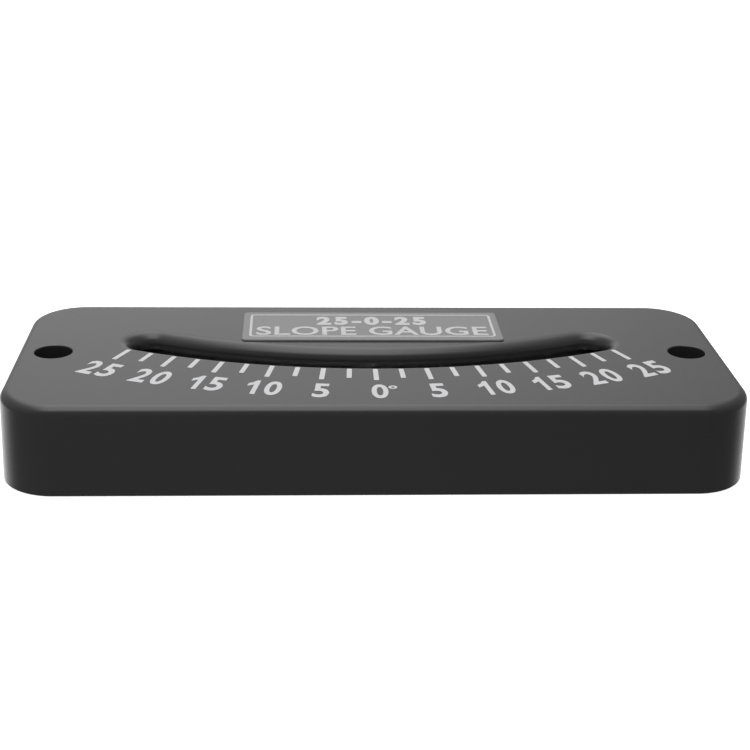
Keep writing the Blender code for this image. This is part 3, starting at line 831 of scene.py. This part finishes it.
def case_cuts(settings, tube, fasteners):
    """Everything that is taken out of the case's block or added inside it, in order."""
    ceiling = FACE_Z - settings.face_thickness
    over = settings.slot_rim
    half_x, half_y = inside_of_cover(settings)
    corner = settings.cavity_corner
    yield "DIFFERENCE", block((-half_x, -half_y, -over), (half_x, half_y, ceiling), corner)

    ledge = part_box("cover_gasket")[1].z + tube.seat_gap
    strip_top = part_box("backing_strip")[1].z
    pad_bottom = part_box("clamp_pad_left")[0].z
    root = ceiling + over / 2
    posts = [cylinder(settings.cover_post, ledge, root, spot) for spot in screw_places("cover")]
    for spot in screw_places("clamp"):
        posts.append(cylinder(settings.clamp_post, pad_bottom, root, spot))
    yield "UNION", joined(posts)

    inner = TUBE_RADIUS + settings.channel_gap
    outer = inner + settings.channel_wall
    low = strip_top + tube.seat_gap
    beyond = tube.plug_cap + tube.seat_gap + tube.groove_gap
    end = TUBE_END_ANGLE + beyond / TRACK_RADIUS
    wall_end = end + settings.channel_wall / TRACK_RADIUS
    section = [(-outer, low), (outer, low), (outer, root), (-outer, root)]
    yield "UNION", swept(section, -wall_end, wall_end)
    section = [(-inner, low - over), (inner, low - over), (inner, ceiling), (-inner, ceiling)]
    yield "DIFFERENCE", swept(section, -end, end)

    wide_x, wide_y = inside_of_cover(settings, settings.ledge_x, settings.ledge_y)
    wide_corner = corner + settings.ledge_y
    yield "DIFFERENCE", block((-wide_x, -wide_y, -over), (wide_x, wide_y, ledge), wide_corner)
    yield "DIFFERENCE", slot_cutter(settings)
    yield "DIFFERENCE", swept(round_section(TUBE_RADIUS + tube.groove_gap), -end, end)

    holes = [hole_cutter(settings, (side * mount_hole_x(), 0.0)) for side in (-1, 1)]
    yield "DIFFERENCE", joined(holes)
    pilots = []
    for kind in ("cover", "clamp"):
        bottom = ledge if kind == "cover" else pad_bottom
        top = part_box(kind + "_screw_1")[1].z + fasteners.room
        for spot in screw_places(kind):
            pilots.append(cylinder(fasteners.hole, bottom - over / 2, top, spot, 32))
    yield "DIFFERENCE", joined(pilots)


def mount_hole_x():
    """How far the fixing holes are from the middle, from the openings that the record gives."""
    low, high = frame["record"]["physics"]["openings"][1]["box_m"]
    return (low[0] + high[0]) / 2


def build_case(settings, tube, fasteners):
    low = CASE_LOW + Vector((settings.draft, settings.draft, 0.0))
    high = CASE_HIGH - Vector((settings.draft, settings.draft, 0.0))
    shell = block(low, high, settings.corner, 28)
    foot = [vert for vert in shell.verts if vert.co.z < WELD]
    spread = (CASE_HIGH.x / high.x, CASE_HIGH.y / high.y, 1.0)
    bmesh.ops.scale(shell, verts=foot, vec=spread)
    bevel(shell, edges_at(shell, FACE_Z), settings.face_fillet, 10)
    shell.normal_update()
    bevel(shell, edges_at(shell, 0.0), settings.foot_round, 3)
    tidy(shell)
    body = tidy(carved(shell, *case_cuts(settings, tube, fasteners)))
    surface = moulded_black(settings)
    piece("case_moulding", body, surface, replaced=["case"], weighted=True)


def build_cover(settings, fasteners):
    low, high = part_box("back_cover")
    corner = settings.cavity_corner + settings.ledge_y - settings.ledge_gap
    plate = block(low, high, corner, 14)
    bevel(plate, edges_at(plate, low.z) + edges_at(plate, high.z), settings.cover_edge, 3)
    tidy(plate)
    head = extent("cover_screw_1").x / 2 + fasteners.room
    sink = (head - fasteners.hole) / COUNTERSINK_SLOPE
    top = high.z + OVERSHOOT
    points = [(0.0, -OVERSHOOT), (head, -OVERSHOOT), (head, 0.0), (fasteners.hole, sink)]
    points += [(fasteners.hole, top), (0.0, top)]
    sinks = [turned(points, 40, spot) for spot in screw_places("cover")]
    plate = tidy(carved(plate, ("DIFFERENCE", joined(sinks))))
    surface = cover_black(settings)
    piece("back_cover_moulding", plate, surface, replaced=["back_cover"], weighted=True)

    low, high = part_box("cover_gasket")
    ring = block(low, high, corner, 14)
    bevel(ring, edges_at(ring, low.z) + edges_at(ring, high.z), settings.gasket_edge, 2)
    tidy(ring)
    half_x, half_y = inside_of_cover(settings)
    window_low = (-half_x, -half_y, -OVERSHOOT)
    window_high = (half_x, half_y, high.z + OVERSHOOT)
    window = block(window_low, window_high, settings.cavity_corner)
    ring = tidy(carved(ring, ("DIFFERENCE", window)))
    foam = soft_rubber("gasket_foam", (0.018, 0.018, 0.018), pore=0.0004, depth=0.00006)
    piece("cover_gasket_foam", ring, foam, replaced=["cover_gasket"])


def build_tube(settings):
    bore = TUBE_RADIUS - settings.wall
    skins = []
    for radius in (TUBE_RADIUS, bore):
        skin = bmesh.new()
        points = [place(offset, z, -TUBE_END_ANGLE) for offset, z in round_section(radius)]
        spin(skin, chain(skin, points, closed=True), 2 * TUBE_END_ANGLE, 96, ARC_CENTRE)
        skins.append(tidy(skin))
    bmesh.ops.reverse_faces(skins[1], faces=skins[1].faces)
    builder = joined(skins)
    open_edges = [edge for edge in builder.edges if edge.is_boundary]
    for side in (-1, 1):
        rims = [edge for edge in open_edges if side * edge.verts[0].co.x > 0]
        bmesh.ops.bridge_loops(builder, edges=rims)
    tidy(builder)
    bevel(builder, sharp_edges(builder), settings.end_round, 4)
    tidy(builder)
    piece("tube_glass", builder, clear_glass(), replaced=["glass_tube"])

    ball = bmesh.new()
    radius = extent("indicator_ball").z / 2
    spot = Matrix.Translation(middle("indicator_ball"))
    bmesh.ops.create_uvsphere(ball, u_segments=64, v_segments=32, radius=radius, matrix=spot)
    steel = polished_steel(settings)
    piece("steel_ball", ball, steel, body=BALL, replaced=["indicator_ball"])

    rubber = soft_rubber("plug_rubber", settings.rubber, pore=0.0003, depth=0.00001)
    for side, end in ((-1, "left"), (1, "right")):
        plug = plug_body(settings, bore)
        stem_start = TUBE_END_ANGLE - settings.plug_stem / TRACK_RADIUS
        cap_end = TUBE_END_ANGLE + (settings.seat_gap + settings.plug_cap) / TRACK_RADIUS
        angle = side * (stem_start + cap_end) / 2
        outward = swing(angle).to_3x3() @ Vector((side, 0.0, 0.0))
        lean = UP.rotation_difference(outward).to_matrix().to_4x4()
        move = Matrix.Translation(place(0.0, ARC_CENTRE.z, angle)) @ lean
        bmesh.ops.transform(plug, matrix=move, verts=plug.verts)
        piece("plug_" + end, plug, rubber, replaced=["tube_plug_" + end])


def plug_body(settings, bore):
    """A stopper about the origin: a ribbed stem below, and a rounded, dimpled cap above."""
    nose, chamfer = 0.0004, 0.0003
    rib_gap = settings.plug_gap / 3
    ribs, first_rib, rib_pitch, rib_length = 3, 0.0007, 0.0008, 0.0005
    cap_round, cap_steps, cap_chamfer = 0.0005, 6, 0.0001
    dimple, dimple_floor, dimple_depth = 0.0013, 0.0010, 0.0003
    stem = bore - settings.plug_gap
    rib = bore - rib_gap
    seat_height = settings.plug_stem + settings.seat_gap
    top = (seat_height + settings.plug_cap) / 2
    low = -top
    points = [(0.0, low), (stem - nose, low), (stem, low + chamfer)]
    for count in range(ribs):
        rise = low + first_rib + count * rib_pitch
        points += [(stem, rise), (rib, rise + rib_length / 2), (stem, rise + rib_length)]
    seat = low + seat_height
    points += [(stem, seat), (TUBE_RADIUS - cap_chamfer, seat), (TUBE_RADIUS, seat + cap_chamfer)]
    for step in range(cap_steps + 1):
        angle = QUARTER_TURN * step / cap_steps
        edge = TUBE_RADIUS - cap_round * (1 - math.cos(angle))
        points.append((edge, top - cap_round * (1 - math.sin(angle))))
    points += [(dimple, top), (dimple_floor, top - dimple_depth), (0.0, top - dimple_depth)]
    return turned(points, 40)


def build_supports(settings, fasteners):
    low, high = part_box("backing_strip")
    half = settings.strip_width / 2
    strip_end = math.asin(high.x / (TRACK_RADIUS + half))
    section = [(-half, low.z), (half, low.z), (half, high.z), (-half, high.z)]
    strip = swept(section, -strip_end, strip_end)
    bevel(strip, sharp_edges(strip), settings.strip_edge, 2)
    tidy(strip)
    piece("backing_card", strip, black_card(), replaced=["backing_strip"])

    foam = soft_rubber("pad_foam", settings.rubber, pore=0.0005, depth=0.00008)
    zinc = zinc_plate(fasteners)
    for end, first, second in (("left", 1, 2), ("right", 3, 4)):
        screws = [middle("clamp_screw_%d" % number) for number in (first, second)]
        low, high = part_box("tube_clamp_" + end)
        across = screws[0] - screws[1]
        lean = math.atan2(across.y, across.x) - QUARTER_TURN
        centre = (screws[0] + screws[1]) / 2
        centre.z = 0.0
        move = Matrix.Translation(centre) @ Matrix.Rotation(lean, 4, "Z")

        half = Vector((fasteners.clamp_width / 2, across.length / 2 + fasteners.clamp_margin))
        corner = fasteners.clamp_corner
        bar = block((-half.x, -half.y, low.z), (half.x, half.y, high.z), corner, 16)
        bevel(bar, edges_at(bar, low.z) + edges_at(bar, high.z), fasteners.clamp_edge, 3)
        tidy(bar)
        holes = []
        for side in (-1, 1):
            spot = (0.0, side * across.length / 2)
            bottom, top = low.z - OVERSHOOT, high.z + OVERSHOOT
            holes.append(cylinder(fasteners.hole, bottom, top, spot, 40))
        bar = tidy(carved(bar, ("DIFFERENCE", joined(holes))))
        bmesh.ops.transform(bar, matrix=move, verts=bar.verts)
        node = "tube_clamp_" + end
        piece("clamp_bar_" + end, bar, zinc, replaced=[node], weighted=True)

        low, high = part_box("clamp_pad_" + end)
        half = Vector((fasteners.clamp_width / 2 - settings.pad_inset, TUBE_RADIUS))
        corner = settings.pad_corner
        pad = block((-half.x, -half.y, low.z), (half.x, half.y, high.z), corner, 6)
        bevel(pad, edges_at(pad, low.z) + edges_at(pad, high.z), settings.pad_edge, 4)
        tidy(pad)
        bmesh.ops.transform(pad, matrix=move, verts=pad.verts)
        piece("pad_" + end, pad, foam, replaced=["clamp_pad_" + end])
    return zinc


def threaded(profile, fasteners, low, high):
    """A turned screw with a helical ridge on its shank."""
    body = turned(profile, 32)
    ridge = bmesh.new()
    root = fasteners.core * THREAD_ROOT
    flank = fasteners.pitch * THREAD_FLANK
    start = low + fasteners.pitch / 2
    points = [(root, 0.0, start - flank), (fasteners.shank, 0.0, start), (root, 0.0, start + flank)]
    turns = (high - start) / fasteners.pitch
    geometry = chain(ridge, points, closed=True)
    spin(ridge, geometry, FULL_TURN * turns, round(28 * turns), rise=high - start)
    close_ends(ridge)
    return ridge, body


def cross_recess(fasteners, z):
    """Two crossing tapered slots, cut upwards from a head's face."""
    arms = []
    long, narrow = fasteners.cross / 2, fasteners.cross_width / 2
    for half_x, half_y in ((long, narrow), (narrow, long)):
        low = (-half_x, -half_y, z - OVERSHOOT)
        arm = block(low, (half_x, half_y, z + fasteners.cross_depth))
        deep = [vert for vert in arm.verts if vert.co.z > z]
        bmesh.ops.scale(arm, verts=deep, vec=(CROSS_TAPER, CROSS_TAPER, 1.0))
        arms.append(arm)
    return arms


def screw_body(kind, fasteners):
    """A screw about the origin, head down, at the height of the real ones."""
    low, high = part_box(kind + "_screw_1")
    head = (high.x - low.x) / 2
    edge = fasteners.break_edge
    thread_end = high.z - fasteners.tip
    point = [(fasteners.core, thread_end), (3 * edge, high.z - edge), (0.0, high.z)]
    profile = [(0.0, low.z)]
    if kind == "cover":
        seat = low.z + fasteners.sunk_head
        profile += [(head - edge, low.z), (head, low.z + edge), (fasteners.core, seat)]
    else:
        seat = low.z + fasteners.pan_head
        crown_steps = 8
        for step in range(crown_steps + 1):
            angle = QUARTER_TURN * step / crown_steps
            radius = head * (CROWN_FLAT + (1 - CROWN_FLAT) * math.sin(angle))
            profile.append((radius, low.z + fasteners.pan_crown * (1 - math.cos(angle))))
        profile += [(head, seat - edge), (head - edge, seat), (fasteners.core, seat)]
    ridge, body = threaded(profile + point, fasteners, seat, thread_end - edge)
    cuts = [("UNION", ridge)]
    cuts += [("DIFFERENCE", arm) for arm in cross_recess(fasteners, low.z)]
    return tidy(carved(body, *cuts))


def build_screws(fasteners, zinc):
    for kind in ("cover", "clamp"):
        master = screw_body(kind, fasteners)
        for number, spot in enumerate(screw_places(kind), 1):
            screw = master.copy()
            lean = Matrix.Rotation(fasteners.driver_turn * number, 4, "Z")
            move = Matrix.Translation((spot.x, spot.y, 0.0)) @ lean
            bmesh.ops.transform(screw, matrix=move, verts=screw.verts)
            node = "%s_screw_%d" % (kind, number)
            piece(node + "_threaded", screw, zinc, replaced=[node], weighted=True)
        master.free()


def mark_body(settings, angle, long):
    """One printed mark, along the radius through its angle."""
    half = settings.mark_width / 2
    near = ARC_CENTRE.y - TRACK_RADIUS - settings.start
    reach = settings.long_mark if long else settings.short_mark
    low = (-half, near - reach, FACE_Z - settings.ink_thickness)
    high = (half, near, FACE_Z + settings.ink_thickness)
    mark = block(low, high, half * MARK_ROUNDNESS, 4)
    bmesh.ops.transform(mark, matrix=swing(angle), verts=mark.verts)
    return mark


def numeral_body(settings, value, angle):
    """The digits of one value, side by side, upright at their angle."""
    digits = []
    words = str(value)
    for index, digit in enumerate(words):
        across = (index - (len(words) - 1) / 2) * settings.digit_pitch
        centre = place(settings.numeral_distance, FACE_Z)
        centre.x += across
        if digit == "1":
            shape, width = figure_one(), settings.digit_width * ONE_WIDTH
        else:
            shape, width = lettering(digit, settings.weight), settings.digit_width
        size = (width, settings.numeral_height, 2 * settings.ink_thickness)
        digits.append(fitted(shape, centre, size))
    if value == 0:
        digits.append(degree_ring(settings))
    whole = joined(digits)
    bmesh.ops.transform(whole, matrix=swing(angle), verts=whole.verts)
    bmesh.ops.translate(whole, verts=whole.verts, vec=(settings.numeral_shift, 0.0, 0.0))
    return whole


def degree_ring(settings):
    """The degree sign beside the zero: a flat ring given the ink's thickness."""
    flat = turned([(settings.degree_inner, 0.0), (settings.degree_outer, 0.0)], 28)
    solid = bmesh.ops.extrude_face_region(flat, geom=flat.faces)
    top = [item for item in solid["geom"] if isinstance(item, bmesh.types.BMVert)]
    bmesh.ops.translate(flat, verts=top, vec=(0.0, 0.0, 2 * settings.ink_thickness))
    distance = settings.numeral_distance - settings.degree_rise
    centre = place(distance, FACE_Z - settings.ink_thickness)
    centre.x += settings.degree_shift
    bmesh.ops.translate(flat, verts=flat.verts, vec=centre)
    return tidy(flat)


def build_scale(settings):
    ink = printed_ink("scale_ink", settings.ink, (0.36, 0.36, 0.37))
    count = round(SCALE_LIMIT / settings.step)
    marks = []
    for index in range(-count, count + 1):
        numbered = index % settings.labelled == 0
        marks.append(mark_body(settings, index * settings.step, numbered))
    piece("scale_marks", joined(marks), ink)
    numerals = []
    for index in range(-count, count + 1, settings.labelled):
        value = round(math.degrees(abs(index) * settings.step))
        numerals.append(numeral_body(settings, value, index * settings.step))
    piece("scale_numerals", joined(numerals), ink)


def build_label(settings):
    low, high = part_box("label_plate")
    plate_top = high.z - 2 * PRINT_RISE
    low.z = FACE_Z
    plate = block(low, (high.x, high.y, plate_top), settings.corner, 8)
    bevel(plate, edges_at(plate, plate_top), settings.edge, 4)
    tidy(plate)
    surface = label_plate_paint(settings)
    piece("label_panel", plate, surface, replaced=["label_plate"], weighted=True)

    ink = printed_ink("label_ink", settings.ink, (0.24, 0.24, 0.24))
    inset = Vector((settings.line_inset_x, settings.line_inset_y, 0.0))
    line_low = low + inset
    line_high = high - inset
    line_low.z = plate_top - PRINT_DEPTH
    line_high.z = plate_top + PRINT_RISE
    frame_line = block(line_low, line_high, settings.corner, 8)
    shrink = Vector((settings.line_width, settings.line_width, 0.0))
    deep = Vector((0.0, 0.0, OVERSHOOT))
    window = block(line_low + shrink - deep, line_high - shrink + deep, settings.corner / 2, 8)
    frame_line = tidy(carved(frame_line, ("DIFFERENCE", window)))
    piece("label_border", frame_line, ink)

    upper = lettering(settings.range_words, settings.range_weight, settings.range_spacing)
    lower = lettering(settings.type_words, settings.type_weight, settings.type_spacing)
    rows = (
        ("label_range", upper, settings.range_size, settings.range_rise),
        ("label_type", lower, settings.type_size, -settings.type_drop),
    )
    for name, text, size, rise in rows:
        centre = (LABEL_MIDDLE.x, LABEL_MIDDLE.y + rise, plate_top)
        thickness = PRINT_DEPTH + PRINT_RISE
        piece(name, fitted(text, centre, (*size, thickness)), ink)


def build_camera(settings):
    forward = Vector((0.0, math.cos(settings.pitch), -math.sin(settings.pitch)))
    forward = Matrix.Rotation(-settings.yaw, 3, "Z") @ forward
    side = forward.cross(UP).normalized()
    above = side.cross(forward)
    lean = Matrix.Rotation(-settings.roll, 3, forward)
    facing = Matrix((lean @ side, lean @ above, -forward)).transposed().to_4x4()
    camera = bpy.data.cameras.new("view_camera")
    camera.lens = settings.lens
    camera.clip_start = 0.01
    obj = bpy.data.objects.new("view_camera", camera)
    bpy.context.scene.collection.objects.link(obj)
    obj.matrix_world = Matrix.Translation(settings.place) @ facing
    bpy.context.scene.camera = obj


def build_floor(settings):
    """A pale table top. It lights nothing itself: the world's lower half stands for its glow."""
    reach = 3.0
    drop = Vector((0.0, 0.0, -0.00002))
    builder = bmesh.new()
    bmesh.ops.create_grid(builder, x_segments=1, y_segments=1, size=reach)
    bmesh.ops.translate(builder, verts=builder.verts, vec=drop)
    mesh = bpy.data.meshes.new("table_top")
    builder.to_mesh(mesh)
    builder.free()
    floor = bpy.data.objects.new("table_top", mesh)
    bpy.context.scene.collection.objects.link(floor)
    glow = {"Emission Color": (1.0, 1.0, 1.0, 1.0), "Emission Strength": settings.floor_glow}
    tone = [settings.floor_tone] * 3
    surface = Surface("table_white", tone, Roughness=0.9, Specular_IOR_Level=0.0, **glow)
    below = surface.node("ShaderNodeNewGeometry").outputs["Backfacing"]
    clear = surface.node("ShaderNodeBsdfTransparent")
    mix = surface.node("ShaderNodeMixShader", None, below)
    surface.links.new(surface.shader.outputs[0], mix.inputs[1])
    surface.links.new(clear.outputs[0], mix.inputs[2])
    output = surface.nodes["Material Output"]
    surface.links.new(mix.outputs[0], output.inputs["Surface"])
    mesh.materials.append(surface.owner)
    floor.visible_diffuse = False
    floor.visible_glossy = False


def build_light(settings):
    """A pale wall behind and a long soft light overhead, as one smooth world."""
    world = bpy.data.worlds.new("soft_studio")
    bpy.context.scene.world = world
    tree = NodeTree(world)
    direction = tree.node("ShaderNodeTexCoord").outputs["Generated"]
    split = tree.node("ShaderNodeSeparateXYZ", None, direction)
    across, along, height = (Number(tree, socket) for socket in split.outputs)
    strip = 1 - (1 - settings.sides) * across.size().above(*OVERHEAD_SIDES)
    behind = along.above(*OVERHEAD_FRONT)
    overhead = settings.overhead * height.above(*OVERHEAD_RISE)
    room = settings.front + behind * strip * (settings.backdrop - settings.front + overhead)
    glow = along.above(*TABLE_REACH) * (1 - height.above(*TABLE_TOP))
    table = settings.front + (settings.cove - settings.front) * glow
    level = table + height.above(*WALL_FOOT) * (room - table)
    level = level * (1 - settings.shade * across.above(*SHADE_SIDE))
    seen = Number(tree, tree.node("ShaderNodeLightPath").outputs["Is Camera Ray"])
    level = seen + (1 - seen) * level
    tree.feed(tree.nodes["Background"].inputs["Color"], level)


# Operators ------------------------------------------------------------------------------


class GAUGE_OT_case(bpy.types.Operator):
    """Build the moulded case with its slot, holes and hollow back."""

    bl_idname = "gauge.case"
    bl_label = "Case"

    def execute(self, context):
        scene = context.scene
        build_case(scene.gauge_case, scene.gauge_tube, scene.gauge_fasteners)
        return {"FINISHED"}


class GAUGE_OT_cover(bpy.types.Operator):
    """Build the back cover and its gasket."""

    bl_idname = "gauge.cover"
    bl_label = "Back Cover"

    def execute(self, context):
        build_cover(context.scene.gauge_case, context.scene.gauge_fasteners)
        return {"FINISHED"}


class GAUGE_OT_tube(bpy.types.Operator):
    """Build the glass tube, its ball and its two plugs."""

    bl_idname = "gauge.tube"
    bl_label = "Tube and Ball"

    def execute(self, context):
        build_tube(context.scene.gauge_tube)
        return {"FINISHED"}


class GAUGE_OT_fittings(bpy.types.Operator):
    """Build the backing strip, the clamps with their pads, and all screws."""

    bl_idname = "gauge.fittings"
    bl_label = "Clamps and Screws"

    def execute(self, context):
        fasteners = context.scene.gauge_fasteners
        zinc = build_supports(context.scene.gauge_tube, fasteners)
        build_screws(fasteners, zinc)
        return {"FINISHED"}


class GAUGE_OT_scale(bpy.types.Operator):
    """Print the marks and numerals on the face."""

    bl_idname = "gauge.scale"
    bl_label = "Scale"

    def execute(self, context):
        build_scale(context.scene.gauge_scale)
        return {"FINISHED"}


class GAUGE_OT_label(bpy.types.Operator):
    """Build the label plate and its print."""

    bl_idname = "gauge.label"
    bl_label = "Label"

    def execute(self, context):
        build_label(context.scene.gauge_label)
        return {"FINISHED"}


class GAUGE_OT_stage(bpy.types.Operator):
    """Set up the camera, the table top and the light."""

    bl_idname = "gauge.stage"
    bl_label = "Stage"

    def execute(self, context):
        settings = context.scene.gauge_stage
        build_camera(settings)
        build_floor(settings)
        build_light(settings)
        context.scene.view_settings.view_transform = "Standard"
        return {"FINISHED"}


class GAUGE_PT_panel(bpy.types.Panel):
    """Lists the gauge's operators."""

    bl_idname = "GAUGE_PT_panel"
    bl_label = "Ball Slope Gauge"
    bl_space_type = "VIEW_3D"
    bl_region_type = "UI"
    bl_category = "Gauge"

    def draw(self, context):
        for operator in OPERATORS:
            self.layout.operator(operator.bl_idname)


SETTINGS = {
    "gauge_case": CaseSettings,
    "gauge_tube": TubeSettings,
    "gauge_fasteners": FastenerSettings,
    "gauge_scale": ScaleSettings,
    "gauge_label": LabelSettings,
    "gauge_stage": StageSettings,
}
OPERATORS = (
    GAUGE_OT_stage,
    GAUGE_OT_case,
    GAUGE_OT_cover,
    GAUGE_OT_tube,
    GAUGE_OT_fittings,
    GAUGE_OT_scale,
    GAUGE_OT_label,
)


def register():
    for group in SETTINGS.values():
        bpy.utils.register_class(group)
    for name, group in SETTINGS.items():
        setattr(bpy.types.Scene, name, bpy.props.PointerProperty(type=group))
    for operator in OPERATORS:
        bpy.utils.register_class(operator)
    bpy.utils.register_class(GAUGE_PT_panel)


def unregister():
    bpy.utils.unregister_class(GAUGE_PT_panel)
    for operator in reversed(OPERATORS):
        bpy.utils.unregister_class(operator)
    for name in SETTINGS:
        delattr(bpy.types.Scene, name)
    for group in reversed(SETTINGS.values()):
        bpy.utils.unregister_class(group)


def main():
    register()
    bpy.ops.gauge.stage()
    bpy.ops.gauge.case()
    bpy.ops.gauge.cover()
    bpy.ops.gauge.tube()
    bpy.ops.gauge.fittings()
    bpy.ops.gauge.scale()
    bpy.ops.gauge.label()


if __name__ == "__main__":
    main()
